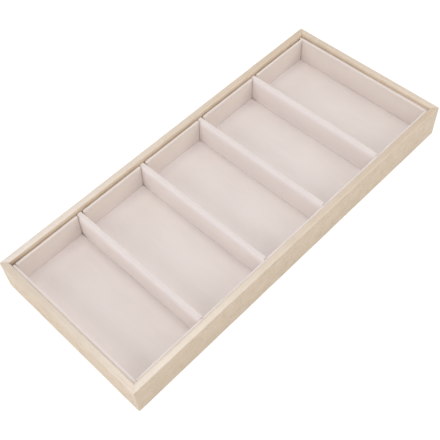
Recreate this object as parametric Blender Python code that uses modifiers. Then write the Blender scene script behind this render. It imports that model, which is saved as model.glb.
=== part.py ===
"""Sunglasses organizer: a low tray of leatherette-covered boards, lined in velvet,
with four dividers that make five compartments side by side.

The origin is on the table under the middle of the tray. +X runs along its length,
+Y across its width and +Z up. Sizes are in metres.
"""
from math import copysign, cos, pi, sin, sqrt

import bmesh
import bpy
from mathutils import Vector

# The whole tray
TRAY_LENGTH = 0.390
TRAY_WIDTH = 0.170
TRAY_HEIGHT = 0.036
COMPARTMENTS = 5

# The frame's four walls, mitred at the corners
WALL_THICKNESS = 0.0060          # board and leatherette together
LEATHER_THICKNESS = 0.0006
RIM_OUTER_RADIUS = 0.0014
RIM_INNER_RADIUS = 0.0011
FOOT_RADIUS = 0.0010
CORNER_RADIUS = 0.0012           # of the upright edges at the tray's corners

# The base, with a lining glued under it
BASE_THICKNESS = 0.0025
LINING_THICKNESS = 0.0009
LINING_STAND = 0.0003            # how far the lining stands below the leatherette

# The velvet-covered panels that stand against the walls
VELVET_THICKNESS = 0.0005
PANEL_THICKNESS = 0.0024         # board and velvet together
PANEL_RADIUS = 0.0010
PANEL_GAP = 0.0013               # dark gap between a wall and the panel's back
RIM_HEIGHT = 0.0036              # the rim's top above the panels' tops
SEAM_GAP = 0.0005                # from the end of a panel to its neighbour

# The dividers and the floor pads
DIVIDER_THICKNESS = 0.0074
DIVIDER_DROP = 0.0006            # the panels' tops above the dividers' tops
DIVIDER_RADIUS = 0.0018
PAD_CARD_THICKNESS = 0.0006
PAD_RADIUS = 0.0008
PAD_GAP = 0.0004                 # all round a pad

# Between pieces that touch on the real tray
CLEARANCE = 0.0003

# Arc steps in a quarter turn
OUTLINE_STEPS = 4
PANEL_STEPS = 2
DIVIDER_STEPS = 4

# Heights
WRAP_BOTTOM = LINING_STAND
BOARD_BOTTOM = max(WRAP_BOTTOM + LEATHER_THICKNESS, LINING_THICKNESS) + CLEARANCE
BOARD_TOP = TRAY_HEIGHT - LEATHER_THICKNESS - CLEARANCE
BASE_TOP = BOARD_BOTTOM + BASE_THICKNESS
LINER_BOTTOM = BASE_TOP + CLEARANCE
PAD_TOP = LINER_BOTTOM + PAD_CARD_THICKNESS + CLEARANCE + VELVET_THICKNESS
PANEL_TOP = TRAY_HEIGHT - RIM_HEIGHT
DIVIDER_TOP = PANEL_TOP - DIVIDER_DROP

# Depths from the outside of a wall, going inwards
BOARD_OUTSIDE = LEATHER_THICKNESS + CLEARANCE
BOARD_INSIDE = WALL_THICKNESS - LEATHER_THICKNESS - CLEARANCE
BASE_EDGE = BOARD_INSIDE + CLEARANCE
LINING_EDGE = WALL_THICKNESS + CLEARANCE
PANEL_BACK = WALL_THICKNESS + PANEL_GAP
PANEL_FACE = PANEL_BACK + PANEL_THICKNESS

# Half lengths and widths at those depths
HALF_LENGTH = TRAY_LENGTH / 2
HALF_WIDTH = TRAY_WIDTH / 2
FLOOR_LENGTH = TRAY_LENGTH - 2 * PANEL_FACE
CELL_LENGTH = (FLOOR_LENGTH - (COMPARTMENTS - 1) * DIVIDER_THICKNESS) / COMPARTMENTS
CELL_PITCH = CELL_LENGTH + DIVIDER_THICKNESS

FILLET_SHARE = 0.45              # the most of a wall that one rounded edge takes
SMOOTH_ANGLE = 0.6               # radians
WELD_DISTANCE = 0.000001


def linear(channel):
    """An sRGB channel from 0 to 255 as Blender's linear value."""
    value = channel / 255
    return value / 12.92 if value <= 0.04045 else ((value + 0.055) / 1.055) ** 2.4


def make_material(name, colour, roughness):
    material = bpy.data.materials.new(name)
    material.use_nodes = True
    shader = material.node_tree.nodes["Principled BSDF"]
    shader.inputs["Base Color"].default_value = (*[linear(channel) for channel in colour], 1)
    shader.inputs["Roughness"].default_value = roughness
    shader.inputs["Metallic"].default_value = 0
    material.diffuse_color = shader.inputs["Base Color"].default_value
    return material


def clear_scene():
    for thing in list(bpy.data.objects):
        bpy.data.objects.remove(thing, do_unlink=True)


def make_collection(name):
    collection = bpy.data.collections.new(name)
    bpy.context.scene.collection.children.link(collection)
    return collection


def fillet(radius, wall):
    """A radius that leaves some flat on the wall it rounds."""
    return min(radius, FILLET_SHARE * wall)


def place(name, mesh, collection, material=None, location=(0, 0, 0)):
    """A new object for the mesh, shaded smooth over its rounded edges."""
    thing = bpy.data.objects.new(name, mesh)
    collection.objects.link(thing)
    thing.location = location
    mesh.shade_smooth()
    mesh.set_sharp_from_angle(angle=SMOOTH_ANGLE)
    if material:
        mesh.materials.append(material)
    return thing


def add_bevel(thing, radius, steps):
    bevel = thing.modifiers.new("round_edges", "BEVEL")
    bevel.width = radius
    bevel.segments = steps
    bevel.limit_method = "NONE"


def box_mesh(name, low, high, open_side=None):
    """A box about its own middle, without the face on its open side."""
    shape = bmesh.new()
    bmesh.ops.create_cube(shape, size=1)
    bmesh.ops.scale(shape, vec=high - low, verts=shape.verts)
    if open_side:
        lid = [face for face in shape.faces if face.normal.dot(open_side) > 0.5]
        bmesh.ops.delete(shape, geom=lid, context="FACES_ONLY")
    mesh = bpy.data.meshes.new(name)
    shape.to_mesh(mesh)
    shape.free()
    return mesh


def solid_box(name, low, high, collection, material, radius=0, steps=1):
    low, high = Vector(low), Vector(high)
    box = place(name, box_mesh(name, low, high), collection, material, (low + high) / 2)
    if radius > 0:
        add_bevel(box, radius, steps)
    return box


def velvet_skin(name, low, high, open_side, radius, steps, collection, material):
    """Cloth glued over five sides of a board, with rounded edges."""
    skin = place(name, box_mesh(name, low, high, open_side), collection, material, (low + high) / 2)
    add_bevel(skin, radius, steps)
    wall = skin.modifiers.new("cloth", "SOLIDIFY")
    wall.thickness = VELVET_THICKNESS
    wall.offset = -1
    wall.use_even_offset = True
    return skin


def covered_board(kind, number, low, high, open_side, radius, steps, collection, materials,
                  core="board"):
    """A board and the velvet over it. The board shows only on the open side."""
    low, high, open_side = Vector(low), Vector(high), Vector(open_side)
    inset = VELVET_THICKNESS + CLEARANCE
    open_low = Vector([max(0, -part) for part in open_side])
    open_high = Vector([max(0, part) for part in open_side])
    board_low = low + inset * (Vector((1, 1, 1)) - open_low)
    board_high = high - inset * (Vector((1, 1, 1)) - open_high)
    solid_box(f"{kind}_board_{number}", board_low, board_high, collection, materials[core],
              max(0, radius - inset))
    velvet_skin(f"{kind}_velvet_{number}", low, high, open_side, radius, steps,
                collection, materials["velvet"])


def rounded_outline(corners):
    """Points round an outline of square corners, each (depth, height, radius)."""
    points = []
    for index, (depth, height, radius) in enumerate(corners):
        here = Vector((depth, height))
        back = (Vector(corners[index - 1][:2]) - here).normalized()
        ahead = (Vector(corners[(index + 1) % len(corners)][:2]) - here).normalized()
        if radius <= 0:
            points.append(here)
            continue
        centre = here + (back + ahead) * radius
        for step in range(OUTLINE_STEPS + 1):
            angle = step / OUTLINE_STEPS * pi / 2
            points.append(centre - ahead * radius * cos(angle) - back * radius * sin(angle))
    return points


def extruded_mesh(name, points, length):
    """The outline drawn out to a length as one welded mesh."""
    curve = bpy.data.curves.new(name, "CURVE")
    curve.dimensions = "2D"
    curve.fill_mode = "BOTH"
    curve.extrude = length / 2
    spline = curve.splines.new("POLY")
    spline.points.add(len(points) - 1)
    spline.use_cyclic_u = True
    for point, spot in zip(spline.points, points):
        point.co = (spot.x, spot.y, 0, 1)
    drawn = bpy.data.objects.new(name, curve)
    bpy.context.scene.collection.objects.link(drawn)
    evaluated = drawn.evaluated_get(bpy.context.evaluated_depsgraph_get())
    mesh = bpy.data.meshes.new_from_object(evaluated)
    mesh.name = name
    bpy.data.objects.remove(drawn, do_unlink=True)
    bpy.data.curves.remove(curve)
    shape = bmesh.new()
    shape.from_mesh(mesh)
    bmesh.ops.remove_doubles(shape, verts=shape.verts, dist=WELD_DISTANCE)
    bmesh.ops.recalc_face_normals(shape, faces=shape.faces)
    shape.to_mesh(mesh)
    shape.free()
    return mesh


def mitre_ends(mesh, half_length):
    """Slides the ends back by their depth, so that they lie at 45 degrees."""
    slack = CLEARANCE / sqrt(2)
    for vertex in mesh.vertices:
        vertex.co.z = copysign(half_length - vertex.co.x - slack, vertex.co.z)


def wall_outline():
    """Section of a wall's board: depth from the outside, height from the table."""
    inset = LEATHER_THICKNESS + CLEARANCE
    wall = BOARD_INSIDE - BOARD_OUTSIDE
    return rounded_outline([
        (BOARD_OUTSIDE, BOARD_BOTTOM, fillet(max(0, FOOT_RADIUS - inset), wall)),
        (BOARD_OUTSIDE, BOARD_TOP, fillet(max(0, RIM_OUTER_RADIUS - inset), wall)),
        (BOARD_INSIDE, BOARD_TOP, fillet(max(0, RIM_INNER_RADIUS - inset), wall)),
        (BOARD_INSIDE, BOARD_BOTTOM, 0),
    ])


def wrap_outline():
    """Section of the leatherette: under the wall, up its outside, over and down inside."""
    skin = LEATHER_THICKNESS
    foot = fillet(FOOT_RADIUS, WALL_THICKNESS)
    outer = fillet(RIM_OUTER_RADIUS, WALL_THICKNESS)
    inner = fillet(RIM_INNER_RADIUS, WALL_THICKNESS)
    return rounded_outline([
        (WALL_THICKNESS, WRAP_BOTTOM, 0),
        (0, WRAP_BOTTOM, foot),
        (0, TRAY_HEIGHT, outer),
        (WALL_THICKNESS, TRAY_HEIGHT, inner),
        (WALL_THICKNESS, LINER_BOTTOM, 0),
        (WALL_THICKNESS - skin, LINER_BOTTOM, 0),
        (WALL_THICKNESS - skin, TRAY_HEIGHT - skin, max(0, inner - skin)),
        (skin, TRAY_HEIGHT - skin, max(0, outer - skin)),
        (skin, WRAP_BOTTOM + skin, max(0, foot - skin)),
        (WALL_THICKNESS, WRAP_BOTTOM + skin, 0),
    ])


def frame_sides():
    """Name, length, place and turn of each wall, going round the tray."""
    return [
        ("front", TRAY_LENGTH, (0, -HALF_WIDTH, 0), pi / 2),
        ("right", TRAY_WIDTH, (HALF_LENGTH, 0, 0), pi),
        ("back", TRAY_LENGTH, (0, HALF_WIDTH, 0), 3 * pi / 2),
        ("left", TRAY_WIDTH, (-HALF_LENGTH, 0, 0), 0),
    ]


def corner_cutter(collection):
    """A block as long and wide as the tray, with its upright edges rounded."""
    over = WALL_THICKNESS
    low = Vector((-HALF_LENGTH, -HALF_WIDTH, -over))
    high = Vector((HALF_LENGTH, HALF_WIDTH, TRAY_HEIGHT + over))
    mesh = box_mesh("corner_cutter", low, high)
    shape = bmesh.new()
    shape.from_mesh(mesh)
    upright = [edge for edge in shape.edges
               if abs(edge.verts[0].co.z - edge.verts[1].co.z) > over]
    bmesh.ops.bevel(shape, geom=upright, offset=CORNER_RADIUS, segments=OUTLINE_STEPS,
                    profile=0.5, affect="EDGES")
    shape.to_mesh(mesh)
    shape.free()
    cutter = place("corner_cutter", mesh, collection, location=(low + high) / 2)
    cutter.hide_render = True
    cutter.display_type = "WIRE"
    return cutter


def make_frame(collection, materials, cutter):
    for side, length, spot, turn in frame_sides():
        for kind, outline, finish in (("frame_board", wall_outline(), "board"),
                                      ("leather_wrap", wrap_outline(), "leather")):
            name = f"{kind}_{side}"
            mesh = extruded_mesh(name, outline, length)
            mitre_ends(mesh, length / 2)
            wall = place(name, mesh, collection, materials[finish], spot)
            wall.rotation_euler = (pi / 2, 0, turn)
            if kind == "leather_wrap":
                corners = wall.modifiers.new("round_corners", "BOOLEAN")
                corners.operation = "INTERSECT"
                corners.object = cutter


def make_base(collection, materials):
    for name, edge, bottom, top, finish in (
            ("base_board", BASE_EDGE, BOARD_BOTTOM, BASE_TOP, "board"),
            ("underside_lining", LINING_EDGE, 0, LINING_THICKNESS, "lining")):
        across = Vector((HALF_LENGTH - edge, HALF_WIDTH - edge, 0))
        solid_box(name, -across + Vector((0, 0, bottom)), across + Vector((0, 0, top)),
                  collection, materials[finish])


def make_end_panels(collection, materials):
    """A panel across each end, as wide as the space between the panel gaps."""
    reach = HALF_WIDTH - PANEL_BACK
    for name, sign in (("left", -1), ("right", 1)):
        edges = sorted([sign * (HALF_LENGTH - PANEL_BACK), sign * (HALF_LENGTH - PANEL_FACE)])
        covered_board("end_panel", name, (edges[0], -reach, LINER_BOTTOM), (edges[1], reach, PANEL_TOP),
                      (sign, 0, 0), PANEL_RADIUS, PANEL_STEPS, collection, materials)


def make_dividers(collection, materials):
    """Dividers that run out to the panel gaps, between the long walls' panels."""
    reach = HALF_WIDTH - PANEL_BACK
    half = DIVIDER_THICKNESS / 2
    for number in range(1, COMPARTMENTS):
        middle = (number - COMPARTMENTS / 2) * CELL_PITCH
        covered_board("divider", number, (middle - half, -reach, LINER_BOTTOM),
                      (middle + half, reach, DIVIDER_TOP), (0, 0, -1),
                      fillet(DIVIDER_RADIUS, DIVIDER_THICKNESS), DIVIDER_STEPS, collection, materials)


def make_compartments(collection, materials):
    """Two long-wall panels and a floor pad for each compartment."""
    face = HALF_WIDTH - PANEL_FACE
    back = HALF_WIDTH - PANEL_BACK
    for number in range(1, COMPARTMENTS + 1):
        middle = (number - (COMPARTMENTS + 1) / 2) * CELL_PITCH
        reach = CELL_LENGTH / 2 - SEAM_GAP
        for name, sign in (("front", -1), ("back", 1)):
            edges = sorted([sign * back, sign * face])
            covered_board(f"{name}_panel", number, (middle - reach, edges[0], LINER_BOTTOM),
                          (middle + reach, edges[1], PANEL_TOP), (0, sign, 0),
                          PANEL_RADIUS, PANEL_STEPS, collection, materials)
        reach = CELL_LENGTH / 2 - PAD_GAP
        covered_board("floor_pad", number, (middle - reach, PAD_GAP - face, LINER_BOTTOM),
                      (middle + reach, face - PAD_GAP, PAD_TOP), (0, 0, -1),
                      PAD_RADIUS, PANEL_STEPS, collection, materials, core="card")


def main():
    clear_scene()
    tray = make_collection("sunglasses_organizer")
    cutters = make_collection("cutters")
    materials = {
        "leather": make_material("cream_leatherette", (232, 218, 200), 0.5),
        "velvet": make_material("blush_velvet", (221, 208, 202), 0.95),
        "board": make_material("fibreboard", (176, 148, 112), 0.85),
        "card": make_material("grey_card", (176, 168, 153), 0.9),
        "lining": make_material("underside_felt", (214, 202, 188), 0.95),
    }
    make_frame(tray, materials, corner_cutter(cutters))
    make_base(tray, materials)
    make_end_panels(tray, materials)
    make_dividers(tray, materials)
    make_compartments(tray, materials)


main()
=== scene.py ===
import math

import bpy
from mathutils import Matrix, Vector, noise


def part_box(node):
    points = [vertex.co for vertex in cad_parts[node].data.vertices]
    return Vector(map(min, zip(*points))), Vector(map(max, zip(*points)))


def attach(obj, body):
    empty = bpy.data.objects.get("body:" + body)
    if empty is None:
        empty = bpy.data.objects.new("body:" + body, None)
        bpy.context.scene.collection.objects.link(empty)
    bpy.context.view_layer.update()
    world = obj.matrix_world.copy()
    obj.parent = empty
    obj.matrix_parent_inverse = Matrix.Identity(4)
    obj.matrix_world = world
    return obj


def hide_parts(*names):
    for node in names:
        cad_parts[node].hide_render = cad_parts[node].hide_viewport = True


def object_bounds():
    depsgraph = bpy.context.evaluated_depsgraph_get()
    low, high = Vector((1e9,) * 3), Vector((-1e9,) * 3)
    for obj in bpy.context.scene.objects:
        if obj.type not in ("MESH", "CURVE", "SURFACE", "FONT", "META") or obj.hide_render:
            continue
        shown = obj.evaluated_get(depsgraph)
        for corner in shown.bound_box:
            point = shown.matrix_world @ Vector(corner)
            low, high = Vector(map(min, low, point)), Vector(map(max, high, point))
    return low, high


# A low tray for sunglasses: a cream leatherette frame round a pale velvet liner with five compartments.
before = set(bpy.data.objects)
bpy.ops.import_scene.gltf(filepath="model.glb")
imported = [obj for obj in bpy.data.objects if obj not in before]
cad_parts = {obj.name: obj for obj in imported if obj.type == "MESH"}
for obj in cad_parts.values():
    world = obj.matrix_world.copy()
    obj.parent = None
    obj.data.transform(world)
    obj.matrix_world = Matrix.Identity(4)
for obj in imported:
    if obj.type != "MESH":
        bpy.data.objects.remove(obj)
cadLow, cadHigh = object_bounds()
print("frame loaded:", len(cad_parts), "nodes")

mm = 0.001
wallNames = ("front", "right", "back", "left")    # in turn round the tray
cellNumbers = range(1, 6)
dividerNumbers = range(1, 5)


# Small helpers for shapes

def smooth(low, high, value):
    # 0 at low, 1 at high, eased between them and level beyond
    share = min(max((value - low) / (high - low), 0), 1)
    return share * share * (3 - 2 * share)


def between(ends, share):
    return ends[0] + (ends[1] - ends[0]) * share


def wander(point, size, seed):
    # a soft value of about -1 to 1 that changes over the given size
    return noise.noise(Vector(point) / size + Vector((7.31, 3.17, 5.73)) * seed)


def makePiece(name, points, faces, material, replaced, marks=None):
    mesh = bpy.data.meshes.new(name)
    mesh.from_pydata(points, [], faces)
    mesh.validate()
    mesh.shade_smooth()
    for markName, values in (marks or {}).items():
        mark = mesh.attributes.new(markName, "FLOAT", "POINT")
        mark.data.foreach_set("value", values)
    mesh.materials.append(material)
    piece = bpy.data.objects.new(name, mesh)
    bpy.context.scene.collection.objects.link(piece)
    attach(piece, "root")
    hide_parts(replaced)
    return piece


# Shader maths: a wire is one socket, and sums on it add their nodes

class Wire:
    def __init__(self, tree, socket=None):
        self.tree = tree
        self.socket = socket

    def node(self, kind, settings, sockets, out=0):
        made = self.tree.nodes.new("ShaderNode" + kind)
        for key, value in settings.items():
            setattr(made, key, value)
        for key, value in sockets.items():
            if isinstance(value, Wire):
                self.tree.links.new(value.socket, made.inputs[key])
            else:
                made.inputs[key].default_value = value
        return Wire(self.tree, made.outputs[out]) if len(made.outputs) else None

    def maths(self, operation, first, second):
        return self.node("Math", {"operation": operation}, {0: first, 1: second})

    def __add__(self, other):
        return self.maths("ADD", self, other)

    def __radd__(self, other):
        return self.maths("ADD", other, self)

    def __sub__(self, other):
        return self.maths("SUBTRACT", self, other)

    def __rsub__(self, other):
        return self.maths("SUBTRACT", other, self)

    def __mul__(self, other):
        return self.maths("MULTIPLY", self, other)

    def __rmul__(self, other):
        return self.maths("MULTIPLY", other, self)

    def ramp(self, low, high, start=0.0, end=1.0):
        # turns low..high into start..end, eased and clamped
        return self.node("MapRange", {"interpolation_type": "SMOOTHSTEP"},
                         {"Value": self, "From Min": low, "From Max": high, "To Min": start, "To Max": end})

    def blend(self, first, second):
        # a colour between two, by this wire
        return self.node("Mix", {"data_type": "RGBA"}, {0: self, 6: first, 7: second}, 2)

    def stretched(self, scale):
        return self.node("VectorMath", {"operation": "MULTIPLY"}, {0: self, 1: scale})

    def pushed(self, amount, by):
        # moves these coordinates about by a colour noise
        away = self.node("VectorMath", {"operation": "SUBTRACT"}, {0: by, 1: (0.5, 0.5, 0.5)})
        away = self.node("VectorMath", {"operation": "SCALE"}, {0: away, "Scale": amount})
        return self.node("VectorMath", {"operation": "ADD"}, {0: self, 1: away})

    def noise(self, size, detail=2.0, roughness=0.5, out=0):
        return self.node("TexNoise", {}, {"Vector": self, "Scale": 1 / size, "Detail": detail,
                                          "Roughness": roughness}, out)

    def cells(self, size, feature="F1", out=0):
        return self.node("TexVoronoi", {"feature": feature}, {"Vector": self, "Scale": 1 / size}, out)

    def mark(self, name):
        # how much of a mark the mesh has there
        return self.node("Attribute", {"attribute_name": name}, {}, 2)

    def bump(self, distance, strength):
        return self.node("Bump", {}, {"Strength": strength, "Distance": distance, "Height": self})


def paint(red, green, blue):
    # a colour as a screen shows it, 0 to 255, made linear for the shader
    shares = [channel / 255 for channel in (red, green, blue)]
    return tuple(s / 12.92 if s <= 0.04045 else ((s + 0.055) / 1.055) ** 2.4 for s in shares) + (1.0,)


def newMaterial(name):
    material = bpy.data.materials.new(name)
    material.use_nodes = True
    material.node_tree.nodes.clear()
    return material, Wire(material.node_tree)


def finishMaterial(start, sockets):
    shader = start.node("BsdfPrincipled", {}, sockets)
    start.node("OutputMaterial", {}, {"Surface": shader})


# Leatherette: fine pebbles with thin creases between, soft mottling, and the painted light, painted
# reflection and painted shade of the wraps' marks

leatherFinish = {
    "colour": paint(218, 197, 172),
    "mottled": paint(211, 190, 162),
    "crease": paint(185, 163, 137),
    # painted light: lighter sides inside and out, and a painted highlight on the rims' outer edges
    "paintedLight": paint(242, 223, 200),
    # painted reflection: the whiter tone of a highlight on the rims
    "paintedReflection": paint(208, 210, 213),
    # painted shade: darker where the rims' highlight fades, along the mitres, and inside near a corner
    "paintedShade": paint(183, 160, 133),
    "pebble": 0.95 * mm,
    "fineGrain": 0.28 * mm,
    "patch": 11 * mm,               # of the mottling
    "roughness": 0.24,
    "gloss": 1.0,
    "relief": 0.01 * mm,
}


def makeLeatherette():
    look = leatherFinish
    material, start = newMaterial("creamLeatherette")
    place = start.node("TexCoord", {}, {}, "Object")
    bent = place.pushed(0.5 * look["pebble"], place.noise(1.4 * look["pebble"], 3.0, 0.55, 1))
    deep = place.noise(5 * look["pebble"], 2.0)
    wide = bent.cells(look["pebble"], "DISTANCE_TO_EDGE").ramp(0.0, 0.2)
    small = bent.cells(0.45 * look["pebble"], "DISTANCE_TO_EDGE").ramp(0.0, 0.14)
    pebble = wide * (1 - (1 - small) * deep.ramp(0.4, 0.65, 0.1, 0.7))
    dome = 1 - bent.cells(look["pebble"], "SMOOTH_F1")
    tone = start.node("SeparateColor", {}, {"Color": bent.cells(look["pebble"], "F1", 1)})
    grain = place.noise(look["fineGrain"], 3.0, 0.6)
    patch = place.noise(look["patch"], 3.0, 0.55)
    cloud = place.noise(4.5 * look["patch"], 2.0)
    colour = patch.ramp(0.38, 0.66).blend(look["mottled"], look["colour"])
    colour = (cloud.ramp(0.35, 0.7) * 0.35).blend(colour, look["colour"])
    # painted light and painted highlight from the wraps' marks
    colour = (start.mark("paintedLight") * patch.ramp(0.25, 0.6, 0.6, 1.0)).blend(colour, look["paintedLight"])
    colour = ((1 - pebble) * grain.ramp(0.3, 0.7, 0.04, 0.12)).blend(colour, look["crease"])
    # painted reflection whitening the rims where a lamp shines in them
    colour = start.mark("paintedReflection").blend(colour, look["paintedReflection"])
    # painted shade from the wraps' marks
    colour = start.mark("paintedShade").blend(colour, look["paintedShade"])
    height = pebble * (0.6 + tone * 0.2) + dome * 0.4 + grain * 0.15
    roughness = look["roughness"] + (1 - pebble) * 0.12 + patch * 0.05
    finishMaterial(start, {"Base Color": colour, "Roughness": roughness, "Specular IOR Level": look["gloss"],
                           "Normal": height.bump(look["relief"], 0.55)})
    return material


# Velvet: a short dense matt pile, faintly brushed in patches and streaks, and the painted shade and painted
# light of the covers' marks

velvetFinish = {
    "colour": paint(228, 219, 214),
    "brushed": paint(225, 215, 211),
    "root": paint(206, 193, 186),
    "paintedPileShade": paint(213, 203, 199),     # painted shade on tops, over their edges and in the middle of floors
    "paintedPileLight": paint(240, 232, 233),     # painted sheen on rounded sides, painted light along feet and floor edges
    "warmed": paint(229, 218, 206),
    "pile": 0.3 * mm,
    "tuft": 0.9 * mm,
    "streak": 3.2 * mm,             # across the brushing
    "patch": 26 * mm,               # of the brushing
    "roughness": 0.93,
    "gloss": 0.18,
    "relief": 0.07 * mm,
    "sheen": 0.22,
    "sheenRoughness": 0.45,
    "sheenTint": (1.0, 0.95, 0.93, 1.0),
}


def makeVelvet():
    look = velvetFinish
    material, start = newMaterial("blushVelvet")
    place = start.node("TexCoord", {}, {}, "Object")
    pile = place.noise(look["pile"], 3.0, 0.65)
    tuft = place.noise(look["tuft"], 2.0, 0.5)
    lying = place.stretched((1.0, 0.45, 1.0))
    bent = lying.pushed(0.5 * look["patch"], lying.noise(look["patch"], 2.0, 0.5, 1))
    brushed = bent.noise(look["patch"], 3.0, 0.5)
    streak = place.stretched((1.0, 0.16, 1.0)).noise(look["streak"], 2.0)
    shade = (brushed * 0.75 + streak * 0.25).ramp(0.36, 0.64)
    colour = shade.blend(look["brushed"], look["colour"])
    # painted shade and painted light from the covers' marks, and their warmer tone
    for mark in ("warmed", "paintedPileShade", "paintedPileLight"):
        colour = start.mark(mark).blend(colour, look[mark])
    colour = (pile * 0.6 + tuft * 0.4).ramp(0.5, 0.32, 0.0, 0.13).blend(colour, look["root"])
    height = pile * 0.65 + tuft * 0.35
    finishMaterial(start, {"Base Color": colour, "Roughness": look["roughness"] - shade * 0.05,
                           "Specular IOR Level": look["gloss"], "Sheen Weight": look["sheen"],
                           "Sheen Roughness": look["sheenRoughness"], "Sheen Tint": look["sheenTint"],
                           "Normal": height.bump(look["relief"], 0.6)})
    return material


# Fibreboard in the walls, panels, dividers and base, grey card in the floor pads, and felt under the base

boardFinish = {
    "colour": paint(178, 150, 114), "dark": paint(140, 112, 80), "pale": paint(204, 180, 146),
    "fibre": 0.5 * mm, "speck": 1.4 * mm, "gloss": 0.25, "relief": 0.08 * mm,
}
cardFinish = {
    "colour": paint(178, 170, 155), "dark": paint(140, 133, 120), "pale": paint(206, 200, 188),
    "fibre": 0.35 * mm, "speck": 0.9 * mm, "gloss": 0.25, "relief": 0.08 * mm,
}
feltFinish = {
    "colour": paint(214, 202, 188), "dark": paint(186, 172, 156), "pale": paint(228, 219, 208),
    "fibre": 0.22 * mm, "curl": 1.6 * mm, "clump": 3.5 * mm,
    "gloss": 0.2, "sheen": 0.15, "relief": 0.15 * mm,
}


def makePressedBoard(name, look):
    material, start = newMaterial(name)
    place = start.node("TexCoord", {}, {}, "Object")
    bent = place.pushed(2 * look["fibre"], place.noise(4 * look["fibre"], 2.0, 0.5, 1))
    fibre = bent.stretched((0.25, 1.0, 1.0)).noise(look["fibre"], 4.0, 0.65)
    speck = place.cells(look["speck"], "F1", 1)
    tone = start.node("SeparateColor", {}, {"Color": speck})
    colour = fibre.ramp(0.32, 0.68).blend(look["dark"], look["colour"])
    colour = (tone.ramp(0.72, 0.95) * 0.5).blend(colour, look["pale"])
    height = fibre + tone * 0.2
    finishMaterial(start, {"Base Color": colour, "Roughness": 0.9 - fibre * 0.12,
                           "Specular IOR Level": look["gloss"], "Normal": height.bump(look["relief"], 0.5)})
    return material


def makeFelt():
    look = feltFinish
    material, start = newMaterial("underFelt")
    place = start.node("TexCoord", {}, {}, "Object")
    bent = place.pushed(0.75 * look["curl"], place.noise(look["curl"], 3.0, 0.6, 1))
    fibre = bent.stretched((1.0, 0.3, 1.0)).noise(look["fibre"], 3.0, 0.7)
    crossing = bent.stretched((0.3, 1.0, 1.0)).noise(look["fibre"], 3.0, 0.7)
    clump = place.noise(look["clump"], 3.0)
    colour = (fibre * 0.5 + crossing * 0.5).ramp(0.36, 0.62).blend(look["dark"], look["colour"])
    colour = (clump.ramp(0.45, 0.7) * 0.45).blend(colour, look["pale"])
    height = fibre + crossing + clump * 0.5
    finishMaterial(start, {"Base Color": colour, "Roughness": 0.95 - clump * 0.05,
                           "Specular IOR Level": look["gloss"], "Sheen Weight": look["sheen"],
                           "Normal": height.bump(look["relief"], 0.6)})
    return material


leatherette = makeLeatherette()
velvet = makeVelvet()
fibreboard = makePressedBoard("rawFibreboard", boardFinish)
greyCard = makePressedBoard("greyCard", cardFinish)
felt = makeFelt()
print("materials made")


# Leatherette wraps: a C-shaped skin on each wall, under its foot, up the side, over the rim and down inside

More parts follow.
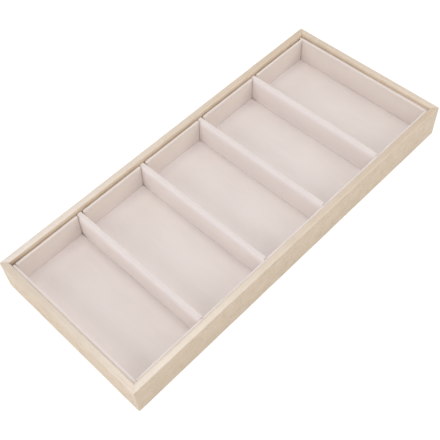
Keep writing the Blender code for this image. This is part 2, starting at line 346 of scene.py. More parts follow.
wrap = {
    "skin": 0.6 * mm,
    "rimOuterRadius": 0.95 * mm,
    "rimInnerRadius": {"front": 0.7 * mm, "right": 1.4 * mm, "back": 1.6 * mm, "left": 0.9 * mm},
    "footRadius": 1.0 * mm,
    "cornerRadius": 1.2 * mm,
    "insideEnd": 4.0 * mm,          # the height where the skin ends inside the wall
    "crown": 0.2 * mm,              # how much higher the rim's top is in its middle
    "crownFull": 0.7,               # the share of the way to the middle where it is full
    "rimTilt": {"front": 0.0, "right": 0.0, "back": 0.35 * mm, "left": 0.0},    # how much lower it is inside
    "wave": 0.1 * mm,               # hand-glued unevenness along the walls
    "waveSize": 26 * mm,
    "waveStart": (1.5 * mm, 14 * mm),   # how far from a corner it begins and is full
    "fineWave": 0.45,               # the share of a finer wave on it
    "finer": 3.1,                   # and how many times finer that is
    "step": 1.6 * mm,
    "endZone": 8 * mm,              # the length at each end where the skin runs into its mitre
    "endSteps": 34,
    "endCrowding": 1.9,             # how much closer together the steps are towards the mitre
    "sectionSteps": {"under": 4, "foot": 6, "side": 22, "outerRim": 9, "rim": 8, "innerRim": 7,
                     "inside": 16},
    "dip": 0.05 * mm,               # how far the skin turns down into the mitre
    "dipReach": 0.5 * mm,
    # half of the mitre's opening at its outer and inner end
    "opening": {("left", "front"): (0.01 * mm, 0.02 * mm), ("back", "left"): (0.02 * mm, 0.25 * mm),
                ("right", "back"): (0.01 * mm, 0.03 * mm), ("front", "right"): (0.02 * mm, 0.03 * mm)},
    # how much painted shade darkens the skin along each mitre, and how quickly that fades beside it
    "seamShade": {("left", "front"): 0.1, ("back", "left"): 0.5,
                  ("right", "back"): 0.1, ("front", "right"): 0.25},
    "seamFade": 1.5,
    # how far the skin faces up where its top and its rim begin and are full, and how far in or out where its
    # sides and its painted end shade do
    "faces": {"top": (0.6, 0.98), "rim": (0.0, 0.5), "side": (0.5, 0.9), "paintedEndShade": (0.3, 0.8)},
    # how much painted reflection whitens each rim and painted shade darkens it, at the wall's start and end
    "paintedReflection": {"front": (0.32, 0.2), "right": (0.22, 0.26), "back": (0.18, 0.42), "left": (0.42, 0.28)},
    "paintedShade": {"front": (0.02, 0.65), "right": (0.1, 0.42), "back": (0.6, 0.0), "left": (0.52, 0.14)},
    # how much a painted highlight lightens the rim's outer edge at the wall's start and end, and the depths
    # it fades between
    "paintedEdgeHighlight": {"front": (0.55, 0.1), "right": (0.0, 0.0), "back": (0.0, 0.0), "left": (0.5, 0.58)},
    "edgeReach": (0.8 * mm, 2.0 * mm),
    # how much painted light lightens each wall inside and outside
    "paintedInnerLight": {"front": 0.0, "right": 0.2, "back": 0.7, "left": 0.0},
    "paintedOuterLight": {"front": 0.0, "right": 0.0, "back": 0.1, "left": 0.3},
    # and how much painted shade darkens it inside, near its end
    "paintedEndShade": {"front": 0.0, "right": 0.0, "back": 0.45, "left": 0.0},
    "paintedEndShadeReach": 30 * mm,
    # short creases where the skin is tucked near a corner: the wall, its neighbour there, and in mm how far
    # along from the corner, the top and bottom height, the depth and the width
    "tucks": [("left", "front", 1.6, 35.4, 32.6, 0.26, 0.28),
              ("front", "left", 1.5, 35.4, 30.2, 0.28, 0.28),
              ("front", "right", 5.2, 34.4, 25.5, 0.13, 0.55),
              ("front", "right", 2.4, 35.2, 32.4, 0.12, 0.3),
              ("back", "left", 1.8, 35.2, 31.5, 0.15, 0.3),
              ("right", "back", 1.7, 35.0, 31.0, 0.16, 0.3)],
    "tuckDepth": 2 * mm,            # how far in from the wall's face they go on over the rim
    "tuckSway": (0.25, 1.3),        # how many mm they sway, and the radians of that in each mm of height
    "tuckFade": (1.6, 0.4, 0.7),    # the mm they fade over: above the bottom, and below and above the top
    # small pinches on a mitre: the corner, and in mm how far in, the depth and the width
    "pinches": [(("front", "right"), 2.3, 0.35, 0.55), (("front", "right"), 4.7, 0.3, 0.5),
                (("left", "front"), 1.2, 0.25, 0.5), (("back", "left"), 5.2, 0.4, 0.9)],
    "pinchHeight": 3 * mm,          # how far down from the rim they reach
}


def arc(centre, radius, start, end, count):
    turns = [math.radians(start + (end - start) * i / count) for i in range(count + 1)]
    return [(centre[0] + radius * math.cos(a), centre[1] + radius * math.sin(a)) for a in turns]


def straight(start, end, count):
    # the points between two ends, without the ends
    return [tuple(start[a] + (end[a] - start[a]) * i / count for a in (0, 1)) for i in range(1, count)]


def wrapSection(inset, depth, low, top, inner):
    # one line of the C, as (depth from outside, height), from under the foot to the end inside the wall
    foot, outer, steps = wrap["footRadius"], wrap["rimOuterRadius"], wrap["sectionSteps"]
    line = [(depth, low + inset)]
    footArc = arc((foot, low + foot), foot - inset, 270, 180, steps["foot"])
    outerArc = arc((outer, top - outer), outer - inset, 180, 90, steps["outerRim"])
    innerArc = arc((depth - inner, top - inner), inner - inset, 90, 0, steps["innerRim"])
    innerEnd = (depth - inset, wrap["insideEnd"])
    line += straight(line[0], footArc[0], steps["under"]) + footArc
    line += straight(footArc[-1], outerArc[0], steps["side"]) + outerArc
    line += straight(outerArc[-1], innerArc[0], steps["rim"]) + innerArc
    line += straight(innerArc[-1], innerEnd, steps["inside"]) + [innerEnd]
    return line


def lineNormals(line):
    # the outward direction at each point of a section's line: how far in over the wall, and how far up
    found = []
    for i in range(len(line)):
        back, ahead = line[max(i - 1, 0)], line[min(i + 1, len(line) - 1)]
        away = Vector((-(ahead[1] - back[1]), ahead[0] - back[0])).normalized()
        found.append((away[0], away[1]))
    return found


def wallPlace(name):
    # where a wall's own axes lie: its left end outside, seen from outside, the way along and the way in
    ways = {"front": ((0, 0), (1, 0), (0, 1)), "right": ((1, 0), (0, 1), (-1, 0)),
            "back": ((1, 1), (-1, 0), (0, -1)), "left": ((0, 1), (0, -1), (1, 0))}
    corner, along, inward = ways[name]
    start = Vector((cadHigh.x if corner[0] else cadLow.x, cadHigh.y if corner[1] else cadLow.y, 0))
    return start, Vector((*along, 0)), Vector((*inward, 0))


def makeWrap(name):
    low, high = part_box("leather_wrap_" + name)
    start, along, inward = wallPlace(name)
    length = abs((cadHigh - cadLow).dot(along))
    depth = abs((high - low).dot(inward))
    skin, innerRadius = wrap["skin"], wrap["rimInnerRadius"][name]
    outerLine = wrapSection(0, depth, low.z, high.z, innerRadius)
    innerLine = wrapSection(skin, depth, low.z, high.z, max(innerRadius, skin))
    outward = lineNormals(outerLine)
    order = wallNames.index(name)
    seed = order + 1
    neighbours = wallNames[order - 1], wallNames[(order + 1) % 4]
    corners = (neighbours[0], name), (name, neighbours[1])
    radius, zone = wrap["cornerRadius"], wrap["endZone"]

    def intoMitre(side, share, d, z):
        # a point of the end zone, share 0 at the mitre and 1 where the wall runs straight,
        # as its distance from the wall's end, depth and height
        outer, inner = wrap["opening"][corners[side]]
        gap = (outer + (inner - outer) * max(0, d) / depth) * math.sqrt(0.5)
        if d < radius:
            bend = (radius - d) * math.pi / 4
            run = gap + share * (bend + zone - radius - gap)
            if run < bend:
                angle = math.pi / 4 - run / (radius - d)
                return radius - (radius - d) * math.sin(angle), radius - (radius - d) * math.cos(angle), z
            return radius + run - bend, d, z
        return d + gap + share * (zone - d - gap), d, z

    def relief(s, d, z, normal):
        # how far the skin stands off its true line at a place on the wall
        side = 0 if s < length / 2 else 1
        fromEnd = s if side == 0 else length - s
        spot = start + along * s + inward * d + Vector((0, 0, z))
        rise = wrap["wave"] * smooth(*wrap["waveStart"], fromEnd) * (
            wander(spot, wrap["waveSize"], seed)
            + wrap["fineWave"] * wander(spot, wrap["waveSize"] / wrap["finer"], seed + 9))
        onTop = smooth(*wrap["faces"]["top"], normal[1])
        crown = wrap["crown"] * smooth(0, wrap["crownFull"], 1 - abs(2 * d / depth - 1))
        rise += onTop * (crown - wrap["rimTilt"][name] * d / depth)
        run = max(0, fromEnd - max(0, d)) if d >= radius else fromEnd
        seam = max(0, 1 - run / wrap["dipReach"])
        rise -= wrap["dip"] * seam * seam
        sway, turns = wrap["tuckSway"]
        begin, endBelow, endAbove = wrap["tuckFade"]
        for wallName, neighbour, at, upper, lower, sink, width in wrap["tucks"]:
            if (wallName, neighbour) == (name, neighbours[side]) and d < wrap["tuckDepth"]:
                off = (fromEnd / mm - at - sway * math.sin(z / mm * turns)) / width
                rise -= sink * mm * math.exp(-off * off) * smooth(lower, lower + begin, z / mm) \
                    * (1 - smooth(upper - endBelow, upper + endAbove, z / mm))
        for corner, at, sink, width in wrap["pinches"]:
            if corner == corners[side] and z > high.z - wrap["pinchHeight"]:
                off = math.hypot(d / mm - at, run / mm) / width
                rise -= sink * mm * math.exp(-off * off)
        return rise

    def settle(side, share, d, z, normal):
        # a point of the section at a station, with the relief, as its place along, depth and height
        if side is None:
            s = zone + share * (length - 2 * zone)
            rise = relief(s, d, z, normal)
            return s, d + normal[0] * rise, z + normal[1] * rise
        fromEnd = intoMitre(side, share, d, z)[0]
        rise = relief(length - fromEnd if side else fromEnd, d, z, normal)
        fromEnd, d, z = intoMitre(side, share, d + normal[0] * rise, z + normal[1] * rise)
        return length - fromEnd if side else fromEnd, d, z

    def tones(side, share, s, d, normal):
        # how much painted light, painted reflection and painted shade the skin has there
        faces = wrap["faces"]
        onRim = smooth(*faces["rim"], normal[1])
        grey, tan, edge = [between(wrap[tone][name], s / length) * onRim
                           for tone in ("paintedReflection", "paintedShade", "paintedEdgeHighlight")]
        # painted light on the inner and outer sides, and a painted highlight along the rim's outer edge
        pale = (wrap["paintedInnerLight"][name] * smooth(*faces["side"], normal[0])
                + wrap["paintedOuterLight"][name] * smooth(*faces["side"], -normal[0])
                + edge * (1 - smooth(*wrap["edgeReach"], d)))
        # tan is painted shade: along the rim, inside near the wall's end, and along the mitre
        nearEnd = wrap["paintedEndShade"][name] * (1 - smooth(0, wrap["paintedEndShadeReach"], length - s))
        tan = max(tan, nearEnd * smooth(*faces["paintedEndShade"], normal[0]))
        if side is not None:
            seam = max(0, 1 - share * zone / wrap["dipReach"])
            tan = max(tan, wrap["seamShade"][corners[side]] * seam ** wrap["seamFade"])
        return pale, grey, tan

    # stations along the wall: close together towards the mitres, even between the end zones
    shares = [(i / wrap["endSteps"]) ** wrap["endCrowding"] for i in range(wrap["endSteps"])]
    middleCount = round((length - 2 * zone) / wrap["step"])
    stations = [(0, share) for share in shares]
    stations += [(None, i / middleCount) for i in range(middleCount + 1)]
    stations += [(1, share) for share in reversed(shares)]
    points, toned = [], []
    for side, share in stations:
        for (d, z), normal in zip(outerLine + innerLine, outward + outward):
            s, d, z = settle(side, share, d, z, normal)
            spot = start + along * s + inward * d
            points.append((spot.x, spot.y, z))
            toned.append(tones(side, share, s, d, normal))
    count = len(outerLine)
    ring = 2 * count
    loop = list(range(count)) + [count + i for i in reversed(range(count))]
    faces = []
    for k in range(len(stations) - 1):
        for a, b in zip(loop, loop[1:] + loop[:1]):
            faces.append((k * ring + a, k * ring + b, (k + 1) * ring + b, (k + 1) * ring + a))
    last = (len(stations) - 1) * ring
    for i in range(count - 1):
        faces.append((i, count + i, count + i + 1, i + 1))
        faces.append((last + i, last + i + 1, last + count + i + 1, last + count + i))
    makePiece("rim_leather_" + name, points, faces, leatherette, "leather_wrap_" + name,
              dict(zip(("paintedLight", "paintedReflection", "paintedShade"), zip(*toned))))


for wallName in wallNames:
    makeWrap(wallName)
print("leatherette wraps made")


# Covered boards: velvet drawn over a thin board and glued behind, so each cover is a shell, open there

cover = {
    "skin": 0.45 * mm,
    "slack": 0.06 * mm,             # between the board and the cloth's back
    "bend": 6,                      # steps round an edge
    "tautEnds": 0.4,                # the share of the cloth's unevenness that a panel's ends have
    "endFaces": 0.5,                # how far the cloth faces along the panel there
    "bottomBlend": (0.25, 0.6),     # the shares of the height between which a smaller bottom radius grows
    # how far the cloth faces up where its top begins and is full
    "topFaces": (0.75, 1.0),
    # how far it faces the wall, and up, where the top's painted shade and light go on over the edge
    "edgeFaces": ((0.1, 0.5), (0.0, 0.2)),
    # how far it faces up where a warm face fades, and the share of the tray's height where it is warmest
    "warmFaces": (0.5, 1.0),
    "warmTop": 0.6,
    "boardEdge": 0.12 * mm,         # how far the board's sawn edges are broken
    "boardStep": 6 * mm,
}
# how far each divider stands from the true middle between its compartments
dividerOffsets = {1: -0.4 * mm, 2: -0.3 * mm, 3: -0.15 * mm, 4: 0.0}


def edgeSpan(low, high, radius, step):
    # places along one side of a block, close together where its edges turn
    turn = [radius * (1 - math.tan(math.pi / 4 * (1 - i / cover["bend"]))) for i in range(cover["bend"])]
    count = max(1, round((high - low - 2 * radius) / step))
    flat = [low + radius + (high - low - 2 * radius) * i / count for i in range(count + 1)]
    return [low + t for t in turn] + flat + [high - t for t in reversed(turn)]


def blockSurface(low, high, radius, step, hemSide=None, hem=0, bottomRadius=None):
    # a rounded block as places, outward directions and faces, open inside the hem on the hem's side;
    # it has a radius for each axis, and may have a smaller one at the bottom
    radii = Vector(radius)
    spans = [edgeSpan(low[a], high[a], radii[a], step) for a in range(3)]
    index, places, outward, faces = {}, [], [], []

    def corner(key):
        if key not in index:
            index[key] = len(places)
            point = Vector([spans[a][key[a]] for a in range(3)])
            height = (point.z - low[2]) / (high[2] - low[2])
            share = smooth(*cover["bottomBlend"], height) if bottomRadius else 1
            turn = [r if share == 1 else bottomRadius + (r - bottomRadius) * share for r in radii]
            core = Vector([min(max(point[a], low[a] + turn[a]), high[a] - turn[a]) for a in range(3)])
            away = Vector([(point[a] - core[a]) / turn[a] for a in range(3)]).normalized()
            places.append(core + Vector([away[a] * turn[a] for a in range(3)]))
            outward.append(away)
        return index[key]

    for axis in range(3):
        one, two = (axis + 1) % 3, (axis + 2) % 3
        for sign in (-1, 1):
            for i in range(len(spans[one]) - 1):
                for j in range(len(spans[two]) - 1):
                    mid = [(spans[a][k] + spans[a][k + 1]) / 2 for a, k in ((one, i), (two, j))]
                    inside = all(low[a] + hem < m < high[a] - hem for a, m in zip((one, two), mid))
                    if hemSide == (axis, sign) and inside:
                        continue
                    quad = []
                    for di, dj in ((0, 0), (1, 0), (1, 1), (0, 1)):
                        key = [0, 0, 0]
                        key[axis] = 0 if sign < 0 else len(spans[axis]) - 1
                        key[one], key[two] = i + di, j + dj
                        quad.append(corner(tuple(key)))
                    faces.append(quad if sign > 0 else quad[::-1])
    return places, outward, faces


def makeCover(name, node, block, shape, shade):
    # shape moves each point of the cloth, and shade says how much painted shade, painted light and warmer
    # tone the pile has there
    places, outward, faces = block
    points = [shape(place, away) for place, away in zip(places, outward)]
    shades = zip(*[shade(place, away) for place, away in zip(places, outward)])
    marks = dict(zip(("paintedPileShade", "paintedPileLight", "warmed"), shades))
    piece = makePiece(name, points, faces, velvet, node, marks)
    skin = piece.modifiers.new("skin", "SOLIDIFY")
    skin.thickness = cover["skin"]
    skin.offset = -1


def makeCore(name, node, low, high, material, shape=None):
    # the board inside, its sawn edges broken a little, and bent as its cover is
    inset = Vector((1, 1, 1)) * (cover["skin"] + cover["slack"])
    edge = (cover["boardEdge"],) * 3
    places, outward, faces = blockSurface(low + inset, high - inset, edge, cover["boardStep"])
    points = [shape(place) if shape else place for place in places]
    makePiece(name, points, faces, material, node)


def panelShade(look, side, hemSide):
    # on the top and over its edge towards the wall the pile has painted shade, or painted light where
    # topShade is below 0, and the face is warmer in colour the higher it is
    axis, sign = hemSide
    towardsWall, upward = cover["edgeFaces"]

    def shade(place, away):
        overEdge = smooth(*towardsWall, away[axis] * sign) * smooth(*upward, away.z)
        share = look["topShade"][side] * max(smooth(*cover["topFaces"], away.z), overEdge)
        warmed = look["warmth"][side] * smooth(cadLow.z, cover["warmTop"] * cadHigh.z, place.z)
        return max(share, 0), max(-share, 0), warmed * (1 - smooth(*cover["warmFaces"], away.z))
    return shade


# Long wall panels: ten, one on each long wall of each compartment

longPanel = {
    # the near panels' ends are square, since they meet in front of the dividers
    "radius": {"front": (0.3 * mm, 1.12 * mm, 1.12 * mm), "back": (1.12 * mm, 1.12 * mm, 1.12 * mm)},
    "step": 2.0 * mm,
    "hem": 8 * mm,
    "unevenness": 0.1 * mm,
    "unevenSize": 18 * mm,
    "topSway": 0.16 * mm,
    "topSwaySize": 30 * mm,
    "lean": {"front": 0.7 * mm, "back": -0.7 * mm},     # how far the top stands nearer to its wall
    # how much thinner the top is, and how much thicker the panel is below it, both on the wall's side
    "thinner": {"front": 0.1 * mm, "back": -0.3 * mm},
    "fuller": {"front": 0.0, "back": 0.8 * mm},
    "fullerBelow": (3.5 * mm, 0.5 * mm),                # how far below the top it is full and begins
    "reach": {"front": 4.18 * mm, "back": 0.6 * mm},    # how far the ends go on towards the dividers
    "cornerReach": 0.6 * mm,                            # and towards the end panels
    "rise": {"front": 0.7 * mm, "back": 0.0},           # how much higher the top stands
    "taper": {"front": 0.15 * mm, "back": 0.35 * mm},   # how much shorter the right end is at the floor
    "taperReach": 7 * mm,
    "boardShort": 1.2 * mm,                             # how much shorter the board inside is
    # painted shade on the top where above 0, painted light where below 0
    "topShade": {"front": -0.35, "back": 0.85},
    "warmth": {"front": 0.0, "back": 0.6},
    "seed": {"front": 40, "back": 20},
}


def makeLongPanel(side, number):
    look = longPanel
    node = f"{side}_panel_velvet_{number}"
    low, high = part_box(node)
    leftReach = rightReach = look["cornerReach"]
    if number > cellNumbers[0]:
        leftReach = look["reach"][side] - dividerOffsets[number - 1]
    if number < cellNumbers[-1]:
        rightReach = look["reach"][side] + dividerOffsets[number]
    drawn = low - Vector((leftReach, 0, 0)), high + Vector((rightReach, 0, 0))
    sign = -1 if side == "front" else 1
    hemSide = (1, sign)
    seed = number + look["seed"][side]
    fullFrom, fullTo = look["fullerBelow"]

    def lean(place):
        up = (place.z - low.z) / (high.z - low.z)
        outer = (place.y - low.y) / (high.y - low.y)
        outer = outer if sign > 0 else 1 - outer
        below = 1 - smooth(high.z - fullFrom, high.z - fullTo, place.z)
        point = place.copy()
        point.y += sign * (look["lean"][side] * up - look["thinner"][side] * outer * up ** 2
                           + look["fuller"][side] * outer * below)
        return point

    def shape(place, away):
        rise = look["unevenness"] * wander(place, look["unevenSize"], seed)
        point = lean(place) + away * rise * (cover["tautEnds"] if abs(away.x) > cover["endFaces"] else 1)
        up = smooth(low.z, high.z, place.z)
        sway = look["topSway"] * wander((place.x, 0, 0), look["topSwaySize"], seed + 5)
        point.z += up * (look["rise"][side] + sway)
        rightEnd = smooth(high.x - look["taperReach"], high.x, place.x)
        point.x -= look["taper"][side] * rightEnd * (1 - up)
        return point

    block = blockSurface(*drawn, look["radius"][side], look["step"], hemSide, look["hem"])
    makeCover(f"{side}_panel_cover_{number}", node, block, shape, panelShade(look, side, hemSide))
    makeCore(f"{side}_panel_core_{number}", f"{side}_panel_board_{number}",
             low, high - Vector((look["boardShort"], 0, 0)), fibreboard, lean)


for side in ("front", "back"):
    for number in cellNumbers:
        makeLongPanel(side, number)
print("long wall panels made")


# End panels: one across each short wall, the left one a little further to the front

endPanel = {
    "radius": (1.0 * mm, 1.0 * mm, 1.0 * mm),
    "step": 2.0 * mm,
    "hem": 8 * mm,
    "unevenness": 0.1 * mm,
    "unevenSize": 22 * mm,
    "topSway": 0.16 * mm,
    "topSwaySize": 30 * mm,
    # how far the velvet's near and far ends reach past the panel's own place
    "reach": {"left": (0.9 * mm, -0.9 * mm), "right": (0.9 * mm, 0.9 * mm)},
    # how far the top's face stands nearer to its wall, at the near and the far end
    "lean": {"left": (0.15 * mm, 0.65 * mm), "right": (0.0, 0.0)},
    # and how far the hidden side of the top does
    "hiddenLean": {"left": (1.05 * mm, 1.1 * mm), "right": (1.4 * mm, 0.6 * mm)},
    "rise": {"left": 0.4 * mm, "right": 0.0},           # how much higher the top stands
    # painted shade on the top where above 0, painted light where below 0
    "topShade": {"left": -0.4, "right": 0.7},
    "warmth": {"left": 0.0, "right": 0.4},
    "seed": {"left": 61, "right": 67},
}


def makeEndPanel(side):
    look = endPanel
    node = f"end_panel_velvet_{side}"
    low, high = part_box(node)
    near, far = look["reach"][side]
    drawn = low - Vector((0, near, 0)), high + Vector((0, far, 0))
    sign = -1 if side == "left" else 1
    hemSide = (0, sign)
    seed = look["seed"][side]

    def lean(place):
        along = (place.y - low.y) / (high.y - low.y)
        outer = (place.x - low.x) / (high.x - low.x)
        outer = outer if sign > 0 else 1 - outer
        push = (between(look["hiddenLean"][side], along) * outer
                + between(look["lean"][side], along) * (1 - outer))
        point = place.copy()
        point.x += sign * push * (place.z - low.z) / (high.z - low.z)
        return point

    def shape(place, away):
        rise = look["unevenness"] * wander(place, look["unevenSize"], seed)
        point = lean(place) + away * rise * (cover["tautEnds"] if abs(away.y) > cover["endFaces"] else 1)
        sway = look["topSway"] * wander((0, place.y, 0), look["topSwaySize"], seed + 5)
        point.z += smooth(low.z, high.z, place.z) * (look["rise"][side] + sway)
        return point

    block = blockSurface(*drawn, look["radius"], look["step"], hemSide, look["hem"])
    makeCover(f"end_panel_cover_{side}", node, block, shape, panelShade(look, side, hemSide))
    shift = Vector((0, (far - near) / 2, 0))
    makeCore(f"end_panel_core_{side}", f"end_panel_board_{side}", low + shift, high + shift,
             fibreboard, lean)


for side in ("left", "right"):
    makeEndPanel(side)
print("end panels made")


# Dividers: thick, round-topped, with the cloth standing a little hollow between the board's two arrises

divider = {
    "radius": (2.6 * mm, 0.8 * mm, 8.0 * mm),
    "bottomRadius": 0.4 * mm,
    "flare": 0.65 * mm,             # how much wider each side stands at the floor
    "flareCurve": 2.2,
    "flareStart": (3 * mm, 12 * mm),    # how far from an end it begins and is full
    "drawnIn": 0.15 * mm,           # how much narrower each side stands just under the rounding
    "drawnInAt": (0.6, 0.95),       # the share of the height where that begins and is full
    "step": 2.0 * mm,
    "hem": 2.2 * mm,
    "unevenness": 0.13 * mm,
    "unevenSize": 20 * mm,
    "topDip": 0.15 * mm,
    "topDipStart": (1.5 * mm, 6 * mm),  # how far from an end it begins and is full
    "topDipWidth": (0.05, 0.5),     # how far from the middle it lessens and is gone
    "topDipFaces": (0.8, 1.0),      # and how far the cloth faces up where it begins and is full
    "topSway": 0.15 * mm,           # up and down
    "topSwaySize": 34 * mm,
    "sideSway": 0.12 * mm,          # and from side to side
    "sideSwaySize": 60 * mm,
    "noseOut": 0.85 * mm,           # how far the far end goes on to the wall
    "noseIn": -1.7 * mm,            # and the near end, which stops at the front panels
    "boardDrop": 4.2 * mm,          # the board inside stops under the padding of the top
    "boardSlim": 0.6 * mm,
    "topShade": 0.5,                # how much painted shade the pile has on the top
    "sideGlow": 0.58,               # how much painted sheen it has on the rounding beside it
    "sideFaces": (0.2, 0.85),       # how far the cloth faces up where that begins and is full
    "sideFade": (0.9, 1.0),         # and where it lessens and is gone
    "footGlow": 0.4,                # and painted light along the foot
    "footReach": (0.4 * mm, 6 * mm),
    "seed": 80,
}


def makeDivider(number):
    look = divider
    node = f"divider_velvet_{number}"
    low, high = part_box(node)
    drawn = low - Vector((0, look["noseIn"], 0)), high + Vector((0, look["noseOut"], 0))
    middle = (low + high) / 2
    half = (high.x - low.x) / 2
    seed = look["seed"] + number

    def shape(place, away):
        rise = look["unevenness"] * wander(place, look["unevenSize"], seed)
        point = place + away * rise
        across = (place.x - middle.x) / half
        fromEnd = min(place.y - drawn[0].y, drawn[1].y - place.y)
        onTop = smooth(*look["topDipFaces"], away.z) * smooth(*look["topDipStart"], fromEnd)
        point.z -= look["topDip"] * onTop * (1 - smooth(*look["topDipWidth"], abs(across)))
        height = (place.z - low.z) / (high.z - low.z)
        flare = look["flare"] * smooth(*look["flareStart"], fromEnd) * (1 - height) ** look["flareCurve"]
        drawnIn = look["drawnIn"] * smooth(*look["drawnInAt"], height)
        point.x += across * (flare - drawnIn) + dividerOffsets[number]
        up = smooth(low.z, high.z, place.z)
        point.z += look["topSway"] * up * wander((0, place.y, 0), look["topSwaySize"], seed + 5)
        point.x += look["sideSway"] * up * wander((0, place.y, 0), look["sideSwaySize"], seed + 11)
        return point

    # painted shade on the top, painted sheen on the rounding beside it, painted light along the foot
    def shade(place, away):
        beside = smooth(*look["sideFaces"], away.z) * (1 - smooth(*look["sideFade"], away.z))
        foot = 1 - smooth(*look["footReach"], place.z - low.z)
        paintedPileLight = look["sideGlow"] * beside + look["footGlow"] * foot
        return look["topShade"] * smooth(*cover["topFaces"], away.z), paintedPileLight, 0

    block = blockSurface(*drawn, look["radius"], look["step"], (2, -1), look["hem"], look["bottomRadius"])
    makeCover(f"divider_cover_{number}", node, block, shape, shade)
    shift = Vector((dividerOffsets[number], 0, 0))
    slim = Vector((look["boardSlim"], 0, 0))
    makeCore(f"divider_core_{number}", f"divider_board_{number}", drawn[0] + shift + slim,
             drawn[1] + shift - slim - Vector((0, 0, look["boardDrop"])), fibreboard)


for number in dividerNumbers:
    makeDivider(number)
print("dividers made")


# Floor pads: card under velvet, nearly flat, with soft edges

floorPad = {
    "atWalls": 0.36 * mm,           # how far the velvet reaches past the pad's own place at the walls
    "atDividers": -0.12 * mm,       # and beside the dividers, which stand wider at the floor
    "radius": (0.3 * mm, 0.3 * mm, 0.3 * mm),
    "step": 2.0 * mm,
    "hem": 9 * mm,
    "edgeDrop": 0.2 * mm,
    "edgeReach": 3.2 * mm,
    "puff": 0.12 * mm,
    "puffReach": 12 * mm,
    "unevenness": 0.09 * mm,
    "unevenSize": 30 * mm,
    "topFaces": (0.3, 0.9),         # how far the cloth faces up where those begin and are full
    "middleShade": 0.12,            # how much painted shade the pile has in the middle
    "middleReach": (8 * mm, 32 * mm),
    "edgeGlow": 0.3,                # and how much painted light it has along the edges, but not along the right one
    "edgeGlowReach": 20 * mm,
    "cardInset": 1.2 * mm,          # how far the card inside stands in from the velvet's edges
    "cardDrop": 0.16 * mm,          # and how much lower it is
    "seed": 100,
}


def makeFloorPad(number):
    look = floorPad
    node = f"floor_pad_velvet_{number}"
    low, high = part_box(node)
    leftSpread = rightSpread = look["atWalls"]
    if number > cellNumbers[0]:
        leftSpread = look["atDividers"] - dividerOffsets[number - 1]
    if number < cellNumbers[-1]:
        rightSpread = look["atDividers"] + dividerOffsets[number]
    drawn = low - Vector((leftSpread, look["atWalls"], 0)), high + Vector((rightSpread, look["atWalls"], 0))
    seed = look["seed"] + number

    def edgeDistance(place, sides=4):
        # from the nearest of the left, near, far and right edges, or of the first few of them
        fromLow, fromHigh = place - drawn[0], drawn[1] - place
        return min((fromLow.x, fromLow.y, fromHigh.y, fromHigh.x)[:sides])

    def shape(place, away):
        fromEdge = edgeDistance(place)
        rise = look["puff"] * smooth(0, look["puffReach"], fromEdge)
        rise -= look["edgeDrop"] * (1 - smooth(0, look["edgeReach"], fromEdge))
        rise += look["unevenness"] * wander(place, look["unevenSize"], seed)
        return place + Vector((0, 0, rise * smooth(*look["topFaces"], away.z)))

    # painted shade in the middle of the pad, painted light along its edges
    def shade(place, away):
        paintedPileShade = look["middleShade"] * smooth(*look["middleReach"], edgeDistance(place))
        paintedPileLight = look["edgeGlow"] * (1 - smooth(0, look["edgeGlowReach"], edgeDistance(place, 3)))
        return paintedPileShade, paintedPileLight, 0

    block = blockSurface(*drawn, look["radius"], look["step"], (2, -1), look["hem"])
    makeCover(f"floor_pad_cover_{number}", node, block, shape, shade)
    inset = Vector((look["cardInset"], look["cardInset"], 0))
    makeCore(f"floor_pad_core_{number}", f"floor_pad_board_{number}", drawn[0] + inset,
             drawn[1] - inset - Vector((0, 0, look["cardDrop"])), greyCard)


for number in cellNumbers:
    makeFloorPad(number)
print("floor pads made")


# Underneath: a felt sheet with a hand-cut edge, and the wall and base boards that carry everything

underside = {
    "step": 3 * mm,
    "radius": (0.3 * mm, 0.3 * mm, 0.3 * mm),
    "cutSway": 0.35 * mm,
    "cutSize": 40 * mm,
    "cutReach": 12 * mm,            # how far in from the edge the sheet gives with its cut
    "seed": 131,
}


def makeUnderside():
    look = underside
    low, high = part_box("underside_lining")
    places, outward, faces = blockSurface(low, high, look["radius"], look["step"])
    points = []
    for place in places:
        point = place.copy()
        for axis in (0, 1):
            sway = -look["cutSway"] * (0.5 + 0.5 * wander(place, look["cutSize"], look["seed"] + axis))
            point[axis] += sway * smooth(high[axis] - look["cutReach"], high[axis], place[axis])
            point[axis] -= sway * smooth(low[axis] + look["cutReach"], low[axis], place[axis])
        points.append(point)
    makePiece("underside_felt", points, faces, felt, "underside_lining")


makeUnderside()
for node in ["base_board"] + ["frame_board_" + name for name in wallNames]:
    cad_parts[node].data.materials.clear()
    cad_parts[node].data.materials.append(fibreboard)
print("underside made")


# The stage: a pale floor that looks white to the camera but keeps the shadow, soft lamps, and the camera

stage = {
    "floorSize": 6.0,
    "floorTone": (0.8, 0.8, 0.8, 1.0),
    "cameraGlow": 0.86,             # what the camera sees of the floor: this much light of its own,
    "cameraTone": (0.22, 0.22, 0.22, 1.0),  # and this tone, which takes the shadow
    "worldTone": (0.45, 0.45, 0.45, 1.0),
    "backdrop": (1.0, 1.0, 1.0, 1.0),
}
lamps = {
    "key": {"place": (0.35, 0.6, 1.8), "aim": (0.35, 0.6, 0.0), "size": (0.5, 0.5), "power": 3.8},
    "overhead": {"place": (0.0, -0.4, 1.8), "aim": (0.0, -0.4, 0.0), "size": (1.0, 0.8), "power": 5.6},
    "overheadRight": {"place": (0.9, -0.9, 1.8), "aim": (0.9, -0.9, 0.0), "size": (0.9, 0.9), "power": 1.3},
    "leftSoftbox": {"place": (-1.6, 0.0, 0.9), "aim": (0.0, 0.0, 0.0), "size": (1.4, 1.4), "power": 14.2},
    "frontSoftbox": {"place": (0.0, -1.6, 0.9), "aim": (0.0, 0.0, 0.0), "size": (1.4, 1.4), "power": 3.4},
    "rightSoftbox": {"place": (1.2, -1.1, 1.1), "aim": (0.0, 0.0, 0.0), "size": (1.2, 1.2), "power": 8.8},
    "backSoftbox": {"place": (0.6, 1.5, 0.9), "aim": (0.0, 0.0, 0.0), "size": (1.4, 1.4), "power": 5.6},
}


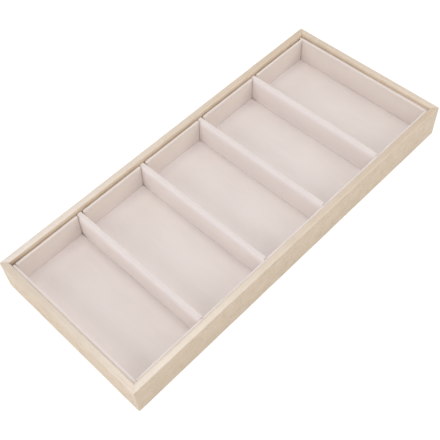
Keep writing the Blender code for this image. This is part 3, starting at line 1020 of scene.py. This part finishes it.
def makeFloor():
    mesh = bpy.data.meshes.new("studioFloor")
    half = stage["floorSize"] / 2
    corners = [(-half, -half, 0), (half, -half, 0), (half, half, 0), (-half, half, 0)]
    mesh.from_pydata(corners, [], [(0, 1, 2, 3)])
    floor = bpy.data.objects.new("studioFloor", mesh)
    bpy.context.scene.collection.objects.link(floor)
    material, start = newMaterial("paleFloor")
    seen = start.node("LightPath", {}, {}, "Is Camera Ray")
    plain = start.node("BsdfDiffuse", {}, {"Color": stage["floorTone"]})
    faint = start.node("BsdfDiffuse", {}, {"Color": stage["cameraTone"]})
    glow = start.node("Emission", {}, {"Strength": stage["cameraGlow"]})
    shown = start.node("AddShader", {}, {0: faint, 1: glow})
    surface = start.node("MixShader", {}, {0: seen, 1: plain, 2: shown})
    start.node("OutputMaterial", {}, {"Surface": surface})
    mesh.materials.append(material)


def makeWorld():
    world = bpy.data.worlds.new("softStudio")
    bpy.context.scene.world = world
    world.use_nodes = True
    world.node_tree.nodes.clear()
    start = Wire(world.node_tree)
    camera, glossy, through = [start.node("LightPath", {}, {}, f"Is {ray} Ray")
                               for ray in ("Camera", "Glossy", "Transmission")]
    soft = start.node("Background", {}, {"Color": stage["worldTone"]})
    plain = start.node("Background", {}, {"Color": stage["backdrop"]})
    surface = start.node("MixShader", {}, {0: camera + glossy + through, 1: soft, 2: plain})
    start.node("OutputWorld", {}, {"Surface": surface})


def makeLamps():
    for name, lamp in lamps.items():
        light = bpy.data.lights.new(name, "AREA")
        light.shape = "RECTANGLE"
        light.size, light.size_y = lamp["size"]
        light.energy = lamp["power"]
        holder = bpy.data.objects.new(name, light)
        bpy.context.scene.collection.objects.link(holder)
        holder.location = lamp["place"]
        way = Vector(lamp["aim"]) - Vector(lamp["place"])
        holder.rotation_euler = way.to_track_quat("-Z", "Y").to_euler()


shot = {
    "azimuth": -40.677, "elevation": 54.704, "roll": -5.679,    # degrees
    "target": (-0.02937, 0.00659, 0.0), "distance": 0.6941,
    "focalPixels": 754.2, "middlePixel": (205, 220), "picturePixels": 440,
    "sensor": 36.0, "clip": (0.01, 20.0),
}


def makeCamera():
    camera = bpy.data.objects.new("camera", bpy.data.cameras.new("camera"))
    bpy.context.scene.collection.objects.link(camera)
    azimuth, elevation = math.radians(shot["azimuth"]), math.radians(shot["elevation"])
    back = Vector((math.sin(azimuth) * math.cos(elevation), -math.cos(azimuth) * math.cos(elevation),
                   math.sin(elevation)))
    right = Vector((0, 0, 1)).cross(back).normalized()
    turned = Matrix.Rotation(math.radians(shot["roll"]), 3, back) @ right
    up = back.cross(turned)
    camera.matrix_world = Matrix.Translation(Vector(shot["target"]) + back * shot["distance"]) \
        @ Matrix((turned, up, back)).transposed().to_4x4()
    pixels = shot["picturePixels"]
    camera.data.sensor_width = shot["sensor"]
    camera.data.lens = shot["focalPixels"] / pixels * shot["sensor"]
    camera.data.shift_x = (pixels / 2 - shot["middlePixel"][0]) / pixels
    camera.data.shift_y = (shot["middlePixel"][1] - pixels / 2) / pixels
    camera.data.clip_start, camera.data.clip_end = shot["clip"]
    bpy.context.scene.camera = camera


makeFloor()
makeWorld()
makeLamps()
makeCamera()
bpy.context.scene.view_settings.view_transform = "Standard"
print("stage, lamps and camera made")
